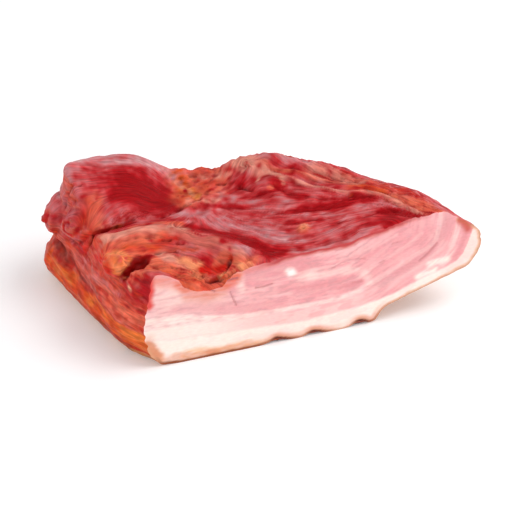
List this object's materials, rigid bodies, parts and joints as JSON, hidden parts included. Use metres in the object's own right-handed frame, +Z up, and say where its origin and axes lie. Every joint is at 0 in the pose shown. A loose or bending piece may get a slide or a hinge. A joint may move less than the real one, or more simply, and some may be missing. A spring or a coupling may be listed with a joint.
{
  "type": "slab of smoked streaky bacon",
  "caption": "Slab of smoked streaky bacon lying rind down, with a lumpy smoked lean top, a fat and lean layered cut face and a curled-up nose.",
  "frame": {"origin": "middle of the slab's bounding box, on the surface it rests on", "axes": "+X along the cut face towards the thin curled nose, +Y back from the cut face, +Z up from the rind to the lean"},
  "size_m": [0.1966, 0.119, 0.0609],
  "materials": {
    "smoked_bacon": "moist smoked lean and rind, with fresh pink lean and cream fat in layers on the cut face"
  },
  "bodies": {
    "root": {"bacon_slab": "smoked_bacon"}
  },
  "joints": []
}
